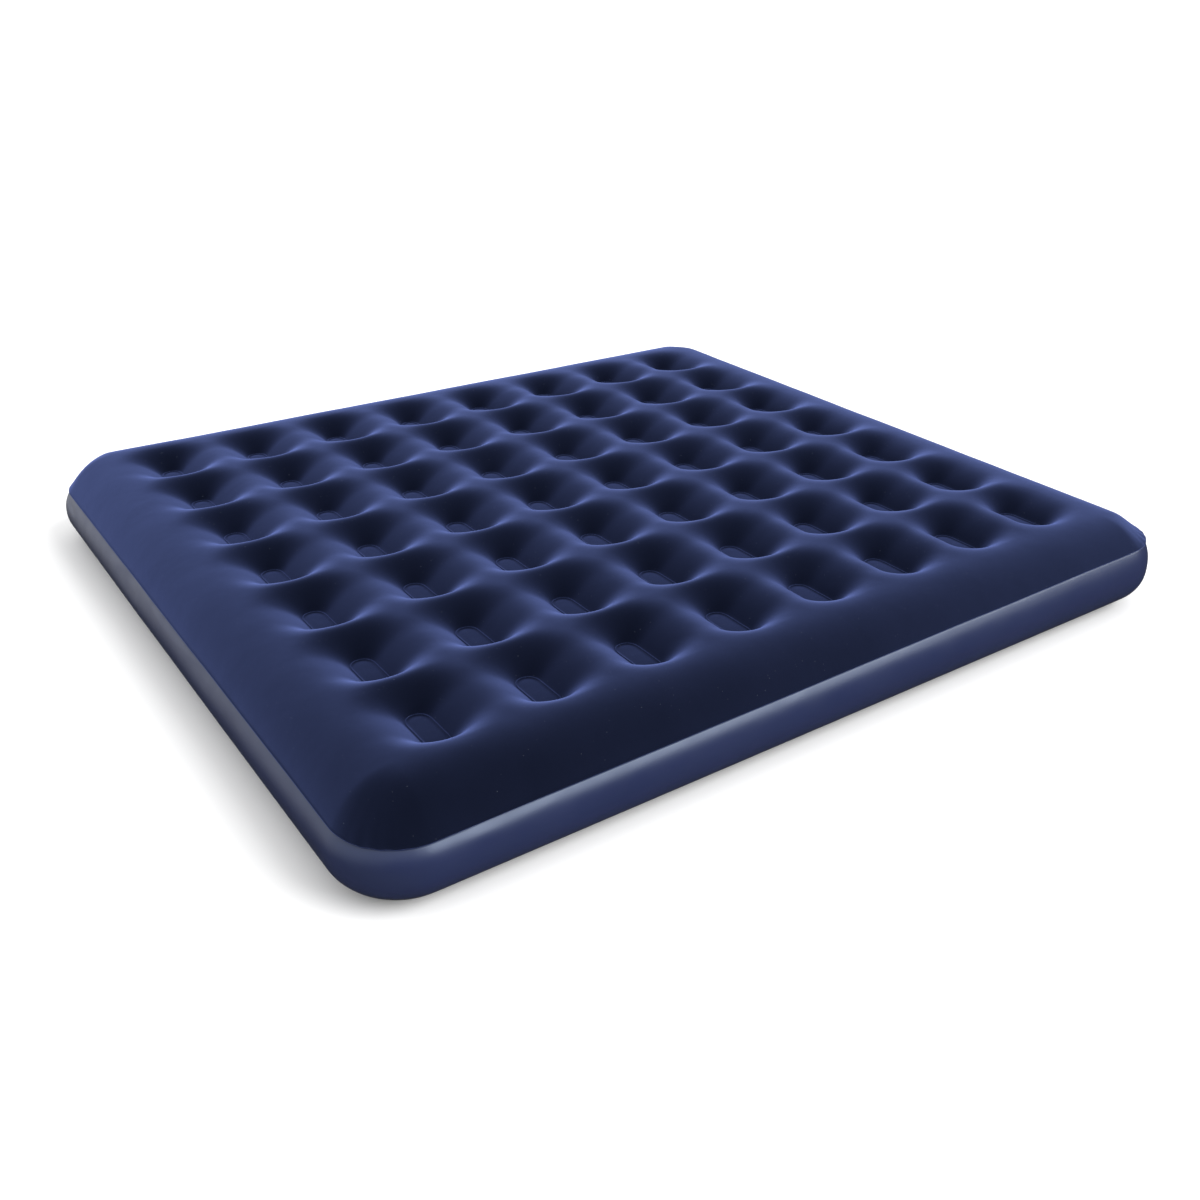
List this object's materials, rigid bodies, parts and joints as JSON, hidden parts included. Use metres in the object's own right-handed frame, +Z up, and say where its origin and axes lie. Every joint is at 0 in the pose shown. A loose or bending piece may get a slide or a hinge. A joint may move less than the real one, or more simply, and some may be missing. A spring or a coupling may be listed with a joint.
{
  "type": "air mattress",
  "caption": "Rectangular inflated air bed: flocked, dimpled top with long oval weld pads, glossy vinyl sides, and a screw valve with a tethered cap in one short end.",
  "frame": {"origin": "on the floor under the middle of the bed; the valve that stands out of the +X end is not counted", "axes": "+Z up, +X along the 2.03 m length towards the end with the valve, +Y across the 1.83 m width"},
  "size_m": [2.0532, 1.83, 0.22],
  "materials": {
    "flock": "short velvety flock on PVC sheet",
    "vinyl": "soft PVC film, satin gloss, fine grain",
    "inner_film": "plain PVC film",
    "valve_plastic": "moulded, semi-rigid, satin",
    "cap_plastic": "moulded, flexible, satin",
    "seal_rubber": "soft, dull"
  },
  "bodies": {
    "bed": {"top_sheet": "flock", "side_wall": "vinyl", "bottom_sheet": "vinyl", "valve_base": "valve_plastic", "valve_patch": "vinyl", "coil_pair_1_1": "inner_film", "coil_pair_1_2": "inner_film", "coil_pair_1_3": "inner_film", "coil_pair_1_4": "inner_film", "coil_pair_2_1": "inner_film", "coil_pair_2_2": "inner_film", "coil_pair_2_3": "inner_film", "coil_pair_2_4": "inner_film", "coil_pair_3_1": "inner_film", "coil_pair_3_2": "inner_film", "coil_pair_3_3": "inner_film", "coil_pair_3_4": "inner_film", "coil_pair_4_1": "inner_film", "coil_pair_4_2": "inner_film", "coil_pair_4_3": "inner_film", "coil_pair_4_4": "inner_film", "coil_pair_5_1": "inner_film", "coil_pair_5_2": "inner_film", "coil_pair_5_3": "inner_film", "coil_pair_5_4": "inner_film", "coil_pair_6_1": "inner_film", "coil_pair_6_2": "inner_film", "coil_pair_6_3": "inner_film", "coil_pair_6_4": "inner_film", "coil_pair_7_1": "inner_film", "coil_pair_7_2": "inner_film", "coil_pair_7_3": "inner_film", "coil_pair_7_4": "inner_film"},
    "gasket_ring": {"valve_gasket": "seal_rubber"},
    "insert": {"valve_insert": "valve_plastic", "valve_neck": "valve_plastic", "flap_pin": "valve_plastic"},
    "flap": {"check_flap": "seal_rubber"},
    "tether": {"cap_tether": "cap_plastic"},
    "cap": {"valve_cap": "cap_plastic", "cap_seal": "seal_rubber"}
  },
  "joints": [
    {"name": "insert_lift", "type": "slide", "parent": "bed", "child": "gasket_ring", "axis": [1, 0, 0], "range_m": [0, 0.01]},
    {"name": "insert_turn", "type": "hinge", "parent": "gasket_ring", "child": "insert", "pos_m": [1.015, 0.4575, 0.091], "axis": [1, 0, 0], "range_deg": [0, 720]},
    {"name": "flap_swing", "type": "hinge", "parent": "insert", "child": "flap", "pos_m": [1.0015, 0.4575, 0.1038], "axis": [0, 1, 0], "range_deg": [0, 60], "stiffness_Nm_per_rad": 0.0001, "springref_deg": -2.86},
    {"name": "cap_turn", "type": "hinge", "parent": "insert", "child": "tether", "pos_m": [1.015, 0.4575, 0.091], "axis": [1, 0, 0], "range_deg": [0, 540]},
    {"name": "cap_lift", "type": "slide", "parent": "tether", "child": "cap", "axis": [1, 0, 0], "range_m": [0, 0.006]}
  ],
  "couplings": [
    {"joint": "insert_lift", "follows": "insert_turn", "m_per_rad": 0.00079577},
    {"joint": "cap_lift", "follows": "cap_turn", "m_per_rad": 0.00063662}
  ]
}
